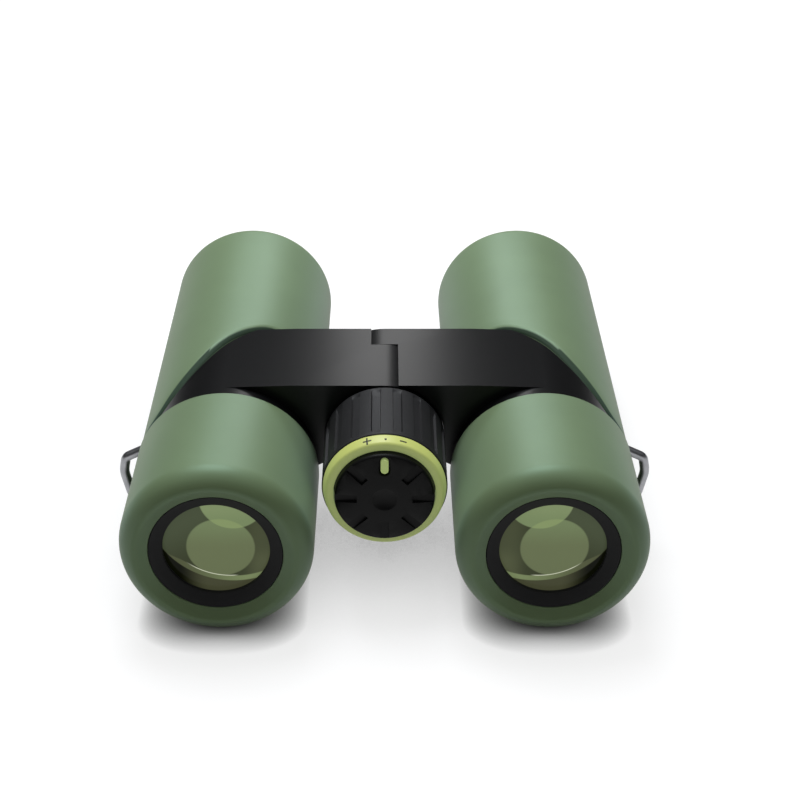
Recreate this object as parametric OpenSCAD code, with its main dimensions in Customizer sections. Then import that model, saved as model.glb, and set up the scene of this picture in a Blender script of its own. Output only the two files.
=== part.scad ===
// Roof-prism binoculars: two rubber-armoured barrels on a central hinge, one focus wheel,
// a trim knob in the nose of the wheel and twist-out eyecups.
// X runs across the barrels, +Y points away from the eyes and +Z is up. The origin is at the
// middle of the footprint. Stations along the barrels are measured from the eyecup lips.

/* [Overall] */
// Length over the eyecups and the objective ends
overall_l = 119.2; // [112:0.1:130]
// Gap between the two eyecups with the hinge fully open
barrel_gap = 28.5; // [28:0.5:32]

/* [Barrels] */
// Outer radius of the barrels, taken on the eyecups
barrel_r = 19.75; // [19.2:0.05:20.2]
// How far the armour draws in beside the bridge
armour_waist = 0.25; // [0:0.05:0.4]
// How far the armour swells at the objective end
armour_flare = 0.15; // [0:0.05:0.5]
// Thickness of the armour beside the bridge
armour_t = 1.1; // [0.9:0.05:1.4]
// How far the bare casting lies below the armour round the bridge
lip_h = 0.25; // [0.2:0.05:0.6]
// Wall of the barrel casting
casting_wall = 1.2; // [1:0.1:1.5]
// Rounding of the armour at the objective end
end_round_r = 5.3; // [3:0.1:5.3]
// Thickness of the armour's end ring along the barrel
end_ring_t = 3.9; // [3:0.1:5]

/* [Armour opening] */
// Distance outwards from the barrel axis at which the open edge turns
edge_turn_out = 0.7; // [0:0.1:2]
// Distance of that turn beyond the front of the bridge
edge_turn_s = 22.9; // [21:0.1:25]
// Distance outwards from the barrel axis at which the edge meets the neck
edge_end_out = 15.2; // [13:0.1:16]
// Distance of the edge beyond the far face of the bridge, on the inner side
edge_far_s = 3.3; // [2:0.1:5]
// Shift of the bare casting's raised edge away from the armour, which leaves a trough
trough_shift = 0.7; // [0.4:0.1:1]

/* [Bridge] */
// Bare neck between the rim of the eyecup and the front of the bridge
neck_l = 3; // [2:0.1:4]
// Length of the bridge along the barrels
bridge_l = 26; // [25.5:0.1:30]
// Length of the left knuckle, which is the near one
near_knuckle_l = 18.4; // [18:0.1:19]
// Height of the hinge axis above the barrel axes
hinge_rise = 7; // [6:0.1:7.5]
// How far the bridge's flat top lies below the tops of the eyecups
top_drop = 0.05; // [0:0.05:0.3]
// Depth of the arm's inner corner below the barrel axes
arm_drop = 1.4; // [0.5:0.1:3]
// Running gap between the two halves of the bridge
knuckle_gap = 0.35; // [0.2:0.05:0.4]
// Side play between the knuckles
side_gap = 0.15; // [0.1:0.05:0.3]
// Angle through which the barrels fold together
fold_angle = 64; // [55:1:70]

/* [Hinge tube] */
// Outer radius of the hinge tube
tube_r = 6.96; // [6.8:0.02:7.2]
// Bore radius of the hinge tube
tube_bore_r = 5.2; // [5:0.1:5.4]
// Rim that the focus hub keeps round the thrust flange on the hinge tube
hub_rim = 2.05; // [1.8:0.05:2.6]
// Radius of the cap on the far end of the hinge tube
hinge_cap_r = 9.5; // [8.5:0.1:11]

/* [Focus wheel] */
// Gap between the wheel and the eyecups
wheel_side_gap = 1.96; // [1.6:0.02:2.2]
// Length of the rubber grip
grip_l = 18.8; // [17:0.1:19]
// Gap between the grip and the front of the bridge
wheel_gap = 1.1; // [0.6:0.1:1.2]
// Number of ribs round the grip
rib_count = 18; // [12:1:24]
// Depth of the grooves between the ribs
rib_depth = 0.55; // [0.3:0.05:0.8]
// Length of the plain band at the front of the grip
plain_band_l = 1.6; // [1:0.1:3]
// Thickness of the rubber grip
grip_t = 1.4; // [1.2:0.1:1.8]
// Length of the scale ring in front of the grip
scale_ring_l = 2.6; // [2:0.1:3]
// How far the scale ring tapers to its front
scale_taper = 0.6; // [0.4:0.1:0.9]
// Wall of the scale ring at its front
scale_wall = 1.7; // [1.4:0.1:1.9]
// Full travel of the focusing lenses
focus_travel = 3; // [2:0.1:3.2]

/* [Trim knob] */
// Thickness of the trim knob's disc at its rim
knob_t = 3.7; // [3.4:0.1:4]
// How far the knob's face bulges in its middle
knob_dome = 0.7; // [0.3:0.1:1]
// Radius of the finger dimple in the knob
dimple_r = 2.7; // [2:0.1:3.5]
// Width of the radial grooves in the knob
knob_groove_w = 1.8; // [1.2:0.1:2.2]
// Width of the pointer let into the knob
pointer_w = 1.8; // [1.5:0.1:2.2]
// Full travel of the right lens under the trim knob
trim_travel = 1.6; // [1:0.1:1.8]

/* [Eyecups] */
// Length of the eyecup
cup_l = 32.3; // [31.5:0.1:36]
// Wall of the eyecup
cup_wall = 2.5; // [2.2:0.1:2.7]
// Rounding of the eyecup's lip
cup_round_r = 5; // [3:0.1:5.2]
// Width of the eyepiece ring's shoulder that fills the mouth of the cup
ring_shoulder = 0.45; // [0.3:0.05:0.6]
// Depth of the lip's slope down to the eyepiece
cup_slope_d = 1.8; // [1.2:0.1:2.4]
// Travel of the eyecup when it is twisted out
cup_travel = 8; // [5:0.5:9]
// Wall of the click ring between the eyecup and the eyepiece tube
click_wall = 1.46; // [1.3:0.02:1.7]
// Wall of the eyepiece tube
eye_tube_wall = 2.7; // [2.3:0.1:2.9]
// Width of the eyepiece ring's black slope
ring_slope_w = 2.15; // [1.5:0.05:3]

/* [Optics] */
// Width of the objective cell's shelf round the clear opening
objective_shelf = 3.2; // [3:0.1:4]
// Step from the clear opening out to the push-in cap's recess
cap_step = 0.5; // [0.4:0.1:0.6]
// Length of the prism cage
prism_l = 24; // [22:0.5:26]
// Thickness of the carrier's bar, which runs between the prism cage and the casting
bar_t = 1.4; // [1.2:0.1:1.6]
// Width of the focusing cell round its lens
cell_w = 3.2; // [3:0.1:4]

/* [Strap lugs] */
// Radius of the lug's wire
lug_wire_r = 1.05; // [0.8:0.05:1.2]
// Distance of the lug beyond the rim of the eyecup
lug_back = 3.5; // [3:0.1:6]
// Reach of the lug beyond the armour
lug_reach = 3.9; // [3.5:0.1:7]

/* [Hidden] */

$fn = 96;
tiny = 0.01;
cut = 1;                     // how far a cutting tool runs past the face it cuts
fit = 0.04;                  // radial clearance of a running fit
seat = 0.05;                 // radial clearance of pieces that are fixed in one another
loose = 0.3;                 // clearance of pieces that pass each other

armour_r_near = barrel_r - armour_waist;
armour_r_far = barrel_r + armour_flare;
casting_r = armour_r_near - armour_t;             // barrel casting under the armour
bare_r = armour_r_near - lip_h;                   // bare casting round the bridge
axis_z = armour_r_far;
hinge_z = axis_z + hinge_rise;
arm_top = barrel_r - top_drop;                    // above the barrel axes
knuckle_r = arm_top - hinge_rise;
axis_gap = 2 * barrel_r + barrel_gap;
axis_x = axis_gap / 2;
pitch_angle = atan(hinge_rise / axis_x);          // slope of the line from barrel to hinge
hinge_reach = sqrt(axis_x * axis_x + hinge_rise * hinge_rise);

neck_s = cup_l + loose;
bridge_s0 = cup_l + neck_l;
split_s = bridge_s0 + near_knuckle_l;
bridge_s1 = bridge_s0 + bridge_l;
armour_s0 = cup_l + 0.7;
inner_r = casting_r - casting_wall;               // bore of the barrel casting
end_ring_s = overall_l - end_ring_t;

wheel_r = hinge_reach - barrel_r - wheel_side_gap;
scale_front_r = wheel_r - 0.2 - scale_taper;
scale_bore_r = scale_front_r - scale_wall;
grip_s1 = bridge_s0 - wheel_gap;
grip_s0 = grip_s1 - grip_l;
scale_s0 = grip_s0 - scale_ring_l;
knob_s0 = scale_s0 + scale_ring_l - 0.3 - knob_t;
knob_r = scale_bore_r - 0.2;
pointer_in = 3.45;                                // from the knob's rim to the pointer's inner end
pointer_l = 3.5;
pointer_s0 = knob_s0 - 0.45;
hub_r = wheel_r - grip_t - seat;
flange_r = hub_r - hub_rim - loose;
stem_r = 3;
spindle_r = 2.5;
hub_web_s1 = grip_s0 + 5.1;
tube_s0 = hub_web_s1 + loose;
tube_s1 = bridge_s1 + 1.2;
flange_t = 1.5;
flange_s1 = bridge_s0 - side_gap;
spool_r = tube_bore_r - 0.1;
groove_r = 3.4;

pin_r = 1;                                        // drive pins of the lens carriers
pin_room = pin_r + loose;
slot_half = focus_travel / 2 + pin_room;
left_pin_s = bridge_s0 + 9;
right_pin_s = (split_s + side_gap + bridge_s1) / 2;
spool_s0 = left_pin_s - pin_r - 2.4;
spool_s1 = right_pin_s + pin_r + 1.5;
spool_room = spool_s1 + focus_travel / 2 + loose;

ring_s0 = cup_slope_d;                            // front face of the eyepiece ring
ring_slope_d = 1.35;
ring_land = 0.9;
lip_t = 2.7;
eye_tube_s0 = cup_slope_d + lip_t + 0.5;
doublet_s0 = eye_tube_s0 + 8.5;
stop_s0 = cup_l - 5.3;                            // field stop
cup_bore_r = barrel_r - cup_wall;
click_r = cup_bore_r - 0.15;
eye_tube_r = click_r - click_wall - fit;
eye_bore_r = eye_tube_r - eye_tube_wall;
ring_r = eye_bore_r + ring_shoulder;
cup_mouth_r = ring_r + loose;
eye_open_r = ring_r - ring_slope_w;
click_s0 = 14;
click_s1 = cup_l - 0.4;
key_s0 = click_s0 + 1;
key_s1 = cup_l - cup_travel - 1.3;
key_h = 0.85;
key_w = 3;
stop_r = eye_tube_r + 0.6;

cage_r = inner_r - bar_t - 2 * loose - 0.1;
cell_r = cage_r - 0.1;
focus_lens_r = cell_r - cell_w;
objective_open_r = inner_r - objective_shelf;
cap_bore_r = objective_open_r + cap_step;
cage_s0 = bridge_s0 + 6.5;
cage_s1 = cage_s0 + prism_l;
prism_half = 0.556 * cage_r;                      // half width of the prisms
prism_up = 0.689 * cage_r;                        // reach of the prisms above the axis
prism_face = 0.53 * cage_r;                       // top of the faces that meet
cell_s = cage_s1 + 8.5;                           // middle of the focusing cell at rest
cell_t = 6;
collar_t = 3;
bar_w = 5;
bar_r0 = cage_r + loose;
bar_r1 = inner_r - loose;
objective_s0 = end_ring_s - 11;
rod_r = 1;
rod_at = cell_r - 1.5;

green = [0.42, 0.52, 0.42];
black = [0.10, 0.10, 0.11];
steel = [0.70, 0.70, 0.72];
glass = [0.70, 0.78, 0.70, 0.5];
lime = [0.80, 0.88, 0.50];
brass = [0.75, 0.62, 0.32];

// ---- helpers ----

function at(s) = s - overall_l / 2;

// A revolved profile of [radius, station] points about the Y axis
module turned() {
    rotate([-90, 0, 0]) translate([0, 0, at(0)]) rotate_extrude() children();
}

module rod_y(r, s0, s1) {
    rotate([-90, 0, 0]) translate([0, 0, at(s0)]) cylinder(r = r, h = s1 - s0);
}

module tube_y(r_out, r_in, s0, s1) {
    difference() {
        rod_y(r_out, s0, s1);
        rod_y(r_in, s0 - cut, s1 + cut);
    }
}

// An outline in X and Z carried along the barrels from one station to another
module profile_y(s0, s1) {
    translate([0, at(s1), 0]) rotate([90, 0, 0]) linear_extrude(s1 - s0) children();
}

// Everything in a barrel is drawn about its own axis, on the left, with the outside at -X
module barrel(side) {
    if (side == "left") translate([-axis_x, 0, axis_z]) children();
    else mirror([1, 0, 0]) translate([-axis_x, 0, axis_z]) children();
}

// Turns the barrel's +X so that it points at the hinge
module towards_hinge() {
    rotate([0, -pitch_angle, 0]) children();
}

module on_hinge() {
    translate([0, 0, hinge_z]) children();
}

// The corner that a fillet takes off a square edge at [r, s]; dir says which way s leaves it
module corner(r, s, round_r, dir) {
    translate([r - round_r, s + dir * round_r]) difference() {
        translate([0, dir < 0 ? 0 : -round_r - cut]) square([round_r + cut, round_r + cut]);
        circle(r = round_r);
    }
}

function pin_s(side) = side == "left" ? left_pin_s : right_pin_s;

// A point on a quadratic curve from a to c, drawn towards b
function bend(a, b, c, t) = (1 - t) * (1 - t) * a + 2 * t * (1 - t) * b + t * t * c;

// ---- barrel casting and armour ----

// The opening in the armour, seen from above, in the left barrel's own axes
module opening_plan() {
    turn = [-edge_turn_out, at(bridge_s0 + edge_turn_s)];
    far = [8, at(bridge_s1 + edge_far_s)];
    end = [-edge_end_out, at(neck_s)];
    run_in = turn + (far - turn) * 0.45;
    run_out = turn + (end - turn) * 0.2;
    polygon(concat(
        [[2 * axis_x, at(neck_s)], [2 * axis_x, far[1]], far],
        [for (i = [0:4]) bend(run_in, turn, run_out, i / 4)],
        [end]
    ));
}

module opening_block(height, shift) {
    translate([shift, -shift, -height / 2]) linear_extrude(height) opening_plan();
}

module lug_wire(extra) {
    reach = armour_r_near + lug_reach;
    foot = inner_r + 0.4;
    path = [[-foot + 0.9, 4.5], [-reach + 1.1, 0.9], [-reach, -2.6],
            [-reach + 1.4, -8.4], [-foot + 0.5, -11], [-foot + 3.2, -10.2]];
    translate([0, at(cup_l + lug_back), 0]) for (i = [0:len(path) - 2])
        wire_run(path[i], path[i + 1], lug_wire_r + extra);
}

// One straight run of wire in the X-Z plane with a ball at each end
module wire_run(a, b, r) {
    d = b - a;
    translate([a[0], 0, a[1]]) {
        sphere(r = r + 0.03, $fn = 32);
        rotate([0, atan2(d[0], d[1]), 0]) cylinder(r = r, h = norm(d), $fn = 32);
    }
}

// The web that joins a barrel to the hinge, as an outline about the barrel axis
module arm_outline() {
    foot_x = axis_x - sqrt(knuckle_r * knuckle_r - pow(hinge_rise - 1.2, 2));
    polygon([
        [0, bare_r], [axis_x - 20, arm_top], [axis_x, arm_top], [axis_x, 1.2],
        [foot_x, 1.2], [casting_r - 1, -arm_drop], [0, -arm_drop]
    ]);
}

module knuckle_circle(r) {
    translate([axis_x, hinge_rise]) circle(r = r);
}

// The arm, with its knuckle on one stretch and a hollow for the other's knuckle on the rest
module arm(side) {
    knuckle_s0 = side == "left" ? bridge_s0 : split_s + side_gap;
    knuckle_s1 = side == "left" ? split_s : bridge_s1;
    hollow_s0 = side == "left" ? split_s : bridge_s0;
    hollow_s1 = side == "left" ? bridge_s1 : split_s + side_gap;
    profile_y(knuckle_s0, knuckle_s1) {
        arm_outline();
        knuckle_circle(knuckle_r);
    }
    profile_y(hollow_s0, hollow_s1) difference() {
        arm_outline();
        knuckle_circle(knuckle_r + knuckle_gap);
    }
}

module housing(side) {
    bare_far = bridge_s1 + edge_far_s;
    color(black) barrel(side) difference() {
        union() {
            rod_y(casting_r, neck_s, end_ring_s - 0.3);
            intersection() {
                union() {
                    rod_y(bare_r, neck_s, bare_far);
                    arm(side);
                }
                opening_block(3 * bare_r, trough_shift);
            }
        }
        rod_y(inner_r, neck_s - cut, end_ring_s + cut);
        translate([axis_x, 0, hinge_rise]) rod_y(tube_r + fit, bridge_s0 - cut, bridge_s1 + cut);
        towards_hinge() translate([inner_r - cut, at(pin_s(side) - slot_half), -pin_room])
            cube([hinge_reach - inner_r + cut, 2 * slot_half, 2 * pin_room]);
        lug_wire(seat);
    }
}

module armour(side) {
    color(green) barrel(side) difference() {
        turned() difference() {
            polygon([
                [casting_r + seat, armour_s0], [armour_r_near, armour_s0],
                [armour_r_far, overall_l - end_round_r], [armour_r_far, overall_l],
                [cap_bore_r, overall_l], [cap_bore_r, end_ring_s], [casting_r + seat, end_ring_s]
            ]);
            corner(armour_r_far, overall_l, end_round_r, -1);
        }
        opening_block(3 * armour_r_far, 0);
        lug_wire(seat);
    }
}

module strap_lug(side) {
    color(steel) barrel(side) difference() {
        lug_wire(0);
        rod_y(inner_r, neck_s, neck_s + 12);
    }
}

// ---- eyepiece and eyecup ----

module eyepiece_tube(side) {
    flange_s0 = neck_s + 0.2;
    color(black) barrel(side) difference() {
        union() {
            rod_y(eye_tube_r, eye_tube_s0, flange_s0 + 3);
            rod_y(stop_r, click_s0 - 2, click_s0 - 0.2);
            rod_y(inner_r - seat, flange_s0, flange_s0 + 3);
        }
        rod_y(eye_bore_r, eye_tube_s0 - cut, flange_s0 + 3 + cut);
    }
}

module eyepiece_ring(side) {
    slope_s1 = ring_s0 + ring_slope_d;
    land_s1 = slope_s1 + ring_land;
    color(black) barrel(side) turned() polygon([
        [ring_r, ring_s0], [eye_open_r, slope_s1], [eye_open_r, land_s1],
        [eye_bore_r - 0.4, land_s1], [eye_bore_r - 0.4, eye_tube_s0 + 4],
        [eye_bore_r - seat, eye_tube_s0 + 4], [eye_bore_r - seat, eye_tube_s0 - 0.05],
        [ring_r, eye_tube_s0 - 0.05]
    ]);
}

// A lens with its edge between two stations and a crown on either face; a crown under
// nothing is a hollow, and a crown of nothing is a flat
module lens(r, s0, s1, crown0, crown1) {
    low = s0 - max(crown0, 0);
    high = s1 + max(crown1, 0);
    turned() difference() {
        intersection() {
            translate([0, low]) square([r, high - low]);
            crowned(r, s0, crown0, -1);
            crowned(r, s1, crown1, 1);
        }
        if (crown1 < 0) hollow(r - 1.2, s1, -crown1);
    }
}

function ball_radius(r, crown) = (r * r + crown * crown) / (2 * crown);

module crowned(r, s, crown, dir) {
    if (crown > 0) {
        ball_r = ball_radius(r, crown);
        translate([0, s + dir * (crown - ball_r)]) circle(r = ball_r, $fn = 360);
    } else translate([-cut, s - 5 * r]) square([r + 2 * cut, 10 * r]);
}

module hollow(r, s, depth) {
    ball_r = ball_radius(r, depth);
    translate([0, s - depth + ball_r]) circle(r = ball_r, $fn = 360);
}

module eye_lens(side) {
    lens_s0 = ring_s0 + ring_slope_d + ring_land + 0.4;
    color(glass) barrel(side) lens(eye_bore_r - 0.5, lens_s0, lens_s0 + 3.2, 1.1, 0);
}

module eyepiece_doublet(side) {
    color(glass) barrel(side) lens(eye_bore_r - seat, doublet_s0, doublet_s0 + 4.5, 1.4, 1.8);
}

module field_stop(side) {
    color(black) barrel(side) tube_y(eye_bore_r - seat, eye_bore_r - 4.9, stop_s0, stop_s0 + 1.5);
}

// Three keys on the click ring carry the turn into the cup and let it slide
module keys(extra, s0, s1) {
    for (a = [0, 120, 240]) rotate([0, a, 0])
        translate([-key_w / 2 - extra, at(s0), click_r - 0.4])
            cube([key_w + 2 * extra, s1 - s0, key_h + 0.4 + extra]);
}

module click_ring(side) {
    color(black) barrel(side) difference() {
        union() {
            rod_y(click_r, click_s0, click_s1);
            keys(0, key_s0, key_s1);
        }
        rod_y(eye_tube_r + fit, click_s0 - cut, click_s1 + cut);
    }
}

module eyecup(side) {
    color(green) barrel(side) difference() {
        turned() difference() {
            polygon([
                [cup_mouth_r, cup_slope_d], [barrel_r - cup_round_r - 0.1, 0], [barrel_r, 0],
                [barrel_r, cup_l], [cup_bore_r, cup_l],
                [cup_bore_r, cup_slope_d + lip_t], [cup_mouth_r, cup_slope_d + lip_t]
            ]);
            corner(barrel_r, 0, cup_round_r, 1);
        }
        keys(0.15, key_s0 - 5, cup_l + cut);
    }
}

// ---- prisms, focusing lens and objective ----

module prism_cage(side) {
    half_w = prism_half + 0.1;
    color(black) barrel(side) difference() {
        union() {
            rod_y(cage_r, cage_s0, cage_s1);
            rod_y(inner_r - seat, cage_s1 - 3, cage_s1);
        }
        translate([-half_w, at(cage_s0 - cut), -prism_up - 0.1])
            cube([2 * half_w, prism_l + 2 * cut, 2 * prism_up + 0.2]);
        towards_hinge() translate([cage_r - 0.15, at(cage_s1 - 3 - cut), -bar_w / 2 - loose])
            cube([10, 3 + 2 * cut, bar_w + 2 * loose]);
        guide_hole(cage_s1 - 2, cage_s1 + cut);
    }
}

module guide_hole(s0, s1) {
    towards_hinge() translate([-rod_at, 0, 0]) rod_y(rod_r + fit, s0, s1);
}

// Prism outlines are in station and height, and run across the barrel
module prism_block(half_w, points) {
    rotate([90, 0, 90]) translate([0, 0, -half_w]) linear_extrude(2 * half_w) polygon(points);
}

module half_penta_prism(side) {
    far = at(cage_s1) - 0.5;
    slope_l = min(0.69 * prism_l, prism_face + 0.82 * prism_up);
    color(glass) barrel(side) prism_block(prism_half, [
        [far, -0.67 * prism_up], [far, prism_face], [far - 3.2, prism_face],
        [far - 3.2 - slope_l, prism_face - slope_l],
        [far - slope_l, -prism_up], [far - slope_l / 2, -prism_up]
    ]);
}

module roof_prism(side) {
    near = at(cage_s0) + 0.5;
    face_s = at(cage_s1) - 4.7;
    slope_l = min(2 * prism_face, face_s - near - 1);
    color(glass) barrel(side) prism_block(prism_half, [
        [near, prism_face - slope_l], [near, 0.71 * prism_up], [near + 5, prism_up],
        [face_s - 0.3, prism_up], [face_s, prism_face], [face_s - slope_l, prism_face - slope_l]
    ]);
}

module guide_rod(side) {
    color(steel) barrel(side) towards_hinge() translate([-rod_at, 0, 0])
        rod_y(rod_r, cage_s1 - 1.9, objective_s0 + 1.9);
}

// The carrier rings the cell, and its bar and pin reach through the arm to the spool
module focus_carrier(side) {
    color(brass) barrel(side) {
        tube_y(bar_r1, cell_r + fit, cell_s - collar_t / 2, cell_s + collar_t / 2);
        towards_hinge() {
            translate([bar_r0, at(pin_s(side) - 1.6), -bar_w / 2])
                cube([bar_t, cell_s - pin_s(side) + 1.6, bar_w]);
            translate([bar_r0 + 0.2, at(pin_s(side)), 0]) rotate([0, 90, 0])
                cylinder(r = pin_r, h = hinge_reach - groove_r - 0.3 - bar_r0 - 0.2, $fn = 32);
        }
    }
}

module focus_cell(side) {
    color(black) barrel(side) difference() {
        rod_y(cell_r, cell_s - cell_t / 2, cell_s + cell_t / 2);
        rod_y(focus_lens_r + seat, cell_s - cell_t / 2 + 1, cell_s + cell_t / 2 + cut);
        rod_y(focus_lens_r - 1, cell_s - cell_t / 2 - cut, cell_s + cell_t / 2);
        guide_hole(cell_s - cell_t / 2 - cut, cell_s + cell_t / 2 + cut);
    }
}

module focus_lens(side) {
    lens_s0 = cell_s - cell_t / 2 + 1.05;
    color(glass) barrel(side) lens(focus_lens_r, lens_s0, lens_s0 + 3.6, 0, -1.2);
}

module objective_cell(side) {
    lens_r = objective_open_r + 1;
    color(black) barrel(side) difference() {
        rod_y(inner_r - seat, objective_s0, end_ring_s - 0.3);
        rod_y(objective_open_r, objective_s0 - cut, end_ring_s + cut);
        rod_y(lens_r + seat, objective_s0 + 3, end_ring_s + cut);
        guide_hole(objective_s0 - cut, objective_s0 + 2);
        rod_y_groove(inner_r - 0.9, objective_s0 + 1.2, objective_s0 + 2.6);
    }
}

module rod_y_groove(r_floor, s0, s1) {
    tube_y(inner_r + cut, r_floor, s0, s1);
}

module objective_lens(side) {
    color(glass) barrel(side)
        lens(objective_open_r + 1, objective_s0 + 4.4, objective_s0 + 7.2, 1.3, 1.6);
}

module objective_retainer(side) {
    color(black) barrel(side)
        tube_y(objective_open_r + 1, objective_open_r, objective_s0 + 7.5, end_ring_s - 0.4);
}

module objective_seal(side) {
    color([0.05, 0.05, 0.05]) barrel(side) turned()
        translate([inner_r - 0.5, objective_s0 + 1.9]) circle(r = 0.38, $fn = 24);
}

// ---- hinge, focus drive and trim knob ----

module hinge_tube() {
    swing = asin(pin_room / tube_bore_r);
    color(steel) on_hinge() difference() {
        union() {
            rod_y(tube_r, tube_s0, tube_s1);
            rod_y(flange_r, flange_s1 - flange_t, flange_s1);
        }
        rod_y(tube_bore_r, tube_s0 - cut, tube_s1 + cut);
        // slot for the right lens pin, which folds with the tube
        rotate([0, pitch_angle, 0])
            translate([spool_r - 1.5, at(right_pin_s - slot_half), -pin_room])
                cube([tube_r, 2 * slot_half, 2 * pin_room]);
        // window through which the left lens pin swings as the barrels fold
        rotate([-90, 0, 0]) rotate([0, 0, 180 - pitch_angle - fold_angle - swing])
            translate([0, 0, at(left_pin_s - slot_half)])
                rotate_extrude(angle = fold_angle + 2 * swing)
                    translate([tube_bore_r - cut, 0]) square([4, 2 * slot_half]);
    }
}

module hinge_cap() {
    cap_floor = max(tube_s1, spool_room) + 0.1;
    cap_s1 = cap_floor + 1.6;
    color(black) on_hinge() turned() difference() {
        polygon([
            [0, cap_floor], [0, cap_s1], [hinge_cap_r, cap_s1],
            [hinge_cap_r, bridge_s1 + 0.02], [tube_r + seat, bridge_s1 + 0.02],
            [tube_r + seat, cap_floor]
        ]);
        corner(hinge_cap_r, cap_s1, 1, -1);
    }
}

module focus_hub() {
    counter_s = flange_s1 - flange_t - loose;
    color(black) on_hinge() difference() {
        rod_y(hub_r, grip_s0, grip_s1 - 0.1);
        rod_y(stem_r + fit, grip_s0 - cut, grip_s0 + 1.8);
        rod_y(spindle_r + fit, grip_s0, hub_web_s1 + cut);
        rod_y(tube_r + fit, hub_web_s1, grip_s1 + cut);
        rod_y(flange_r + loose, counter_s, grip_s1 + cut);
    }
}

module focus_grip() {
    groove_w = 0.85 * PI * wheel_r / rib_count;
    color(black) on_hinge() difference() {
        rod_y(wheel_r, grip_s0, grip_s1);
        rod_y(hub_r + seat, grip_s0 - cut, grip_s1 + cut);
        for (i = [0:rib_count - 1]) rotate([0, (i + 0.5) * 360 / rib_count, 0])
            translate([-groove_w / 2, at(grip_s0 + plain_band_l), wheel_r - rib_depth])
                cube([groove_w, grip_l, 2]);
    }
}

module scale_ring() {
    color(lime) on_hinge() turned() difference() {
        polygon([
            [scale_bore_r, grip_s0], [scale_bore_r, scale_s0],
            [scale_front_r, scale_s0], [wheel_r - 0.2, grip_s0]
        ]);
        corner(scale_front_r, scale_s0, 0.8, 1);
    }
}

module focus_spindle() {
    color(steel) on_hinge() {
        rod_y(spindle_r, grip_s0 + 1.9, spool_s1);
        rod_y(spindle_r + 1.5, hub_web_s1 + 0.05, hub_web_s1 + 1.4);
    }
}

module focus_spool() {
    groove_half = pin_r + fit;
    color(brass) on_hinge() difference() {
        rod_y(spool_r, spool_s0, spool_s1);
        rod_y(spindle_r + fit, spool_s0 - cut, spool_s1 + cut);
        for (s = [left_pin_s, right_pin_s])
            tube_y(spool_r + cut, groove_r, s - groove_half, s + groove_half);
    }
}

module pointer_outline(extra) {
    low = knob_r - pointer_in - extra / 4;
    high = low + pointer_l - pointer_w + extra / 2;
    hull() for (z = [low, high]) translate([0, z]) circle(r = pointer_w / 2 + extra, $fn = 32);
}

module diopter_knob() {
    groove_in = 0.55 * knob_r;
    groove_d = 0.25;
    dimple_d = 0.8;
    dimple_ball = (dimple_r * dimple_r + dimple_d * dimple_d) / (2 * dimple_d);
    color(black) on_hinge() difference() {
        union() {
            turned() difference() {
                intersection() {
                    translate([0, knob_s0 - knob_dome]) square([knob_r, knob_t + knob_dome]);
                    crowned(knob_r, knob_s0, knob_dome, -1);
                }
                corner(knob_r, knob_s0 - 0.14, 0.8, 1);
            }
            rod_y(stem_r, knob_s0 + knob_t - tiny, grip_s0 + 1.7);
        }
        translate([0, at(knob_s0 - knob_dome) + dimple_d - dimple_ball, 0])
            sphere(r = dimple_ball);
        for (i = [1:7]) rotate([0, i * 45, 0])
            translate([-knob_groove_w / 2, at(knob_s0) - cut, groove_in])
                cube([knob_groove_w, cut + groove_d, knob_r]);
        profile_y(knob_s0 - cut, knob_s0 + 0.8) pointer_outline(0.3);
    }
}

module diopter_pointer() {
    color(lime) on_hinge() profile_y(pointer_s0, knob_s0 + 0.8) pointer_outline(0);
}

housing("left");  // left_housing
housing("right");  // right_housing
armour("left");  // left_armour
armour("right");  // right_armour
strap_lug("left");  // left_strap_lug
strap_lug("right");  // right_strap_lug
eyepiece_tube("left");  // left_eyepiece_tube
eyepiece_tube("right");  // right_eyepiece_tube
eyepiece_ring("left");  // left_eyepiece_ring
eyepiece_ring("right");  // right_eyepiece_ring
eye_lens("left");  // left_eye_lens
eye_lens("right");  // right_eye_lens
eyepiece_doublet("left");  // left_eyepiece_doublet
eyepiece_doublet("right");  // right_eyepiece_doublet
field_stop("left");  // left_field_stop
field_stop("right");  // right_field_stop
click_ring("left");  // left_click_ring
click_ring("right");  // right_click_ring
eyecup("left");  // left_eyecup
eyecup("right");  // right_eyecup
prism_cage("left");  // left_prism_cage
prism_cage("right");  // right_prism_cage
half_penta_prism("left");  // left_half_penta_prism
half_penta_prism("right");  // right_half_penta_prism
roof_prism("left");  // left_roof_prism
roof_prism("right");  // right_roof_prism
guide_rod("left");  // left_guide_rod
guide_rod("right");  // right_guide_rod
focus_carrier("left");  // left_focus_carrier
focus_carrier("right");  // right_focus_carrier
focus_cell("left");  // left_focus_cell
focus_cell("right");  // right_focus_cell
focus_lens("left");  // left_focus_lens
focus_lens("right");  // right_focus_lens
objective_cell("left");  // left_objective_cell
objective_cell("right");  // right_objective_cell
objective_lens("left");  // left_objective_lens
objective_lens("right");  // right_objective_lens
objective_retainer("left");  // left_objective_retainer
objective_retainer("right");  // right_objective_retainer
objective_seal("left");  // left_objective_seal
objective_seal("right");  // right_objective_seal
hinge_tube();
hinge_cap();
focus_hub();
focus_grip();
scale_ring();
focus_spindle();
focus_spool();
diopter_knob();
diopter_pointer();
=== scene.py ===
# Roof-prism binoculars with green rubber armour, a black bridge and a lime scale ring.
# Sizes are in millimetres and turn to metres where a vertex is placed. +Y points away from the
# eyes, X runs across the barrels and Z is up. "out" is -1 on the left barrel and 1 on the right.
import math

import bpy
from mathutils import Matrix, Vector


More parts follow.
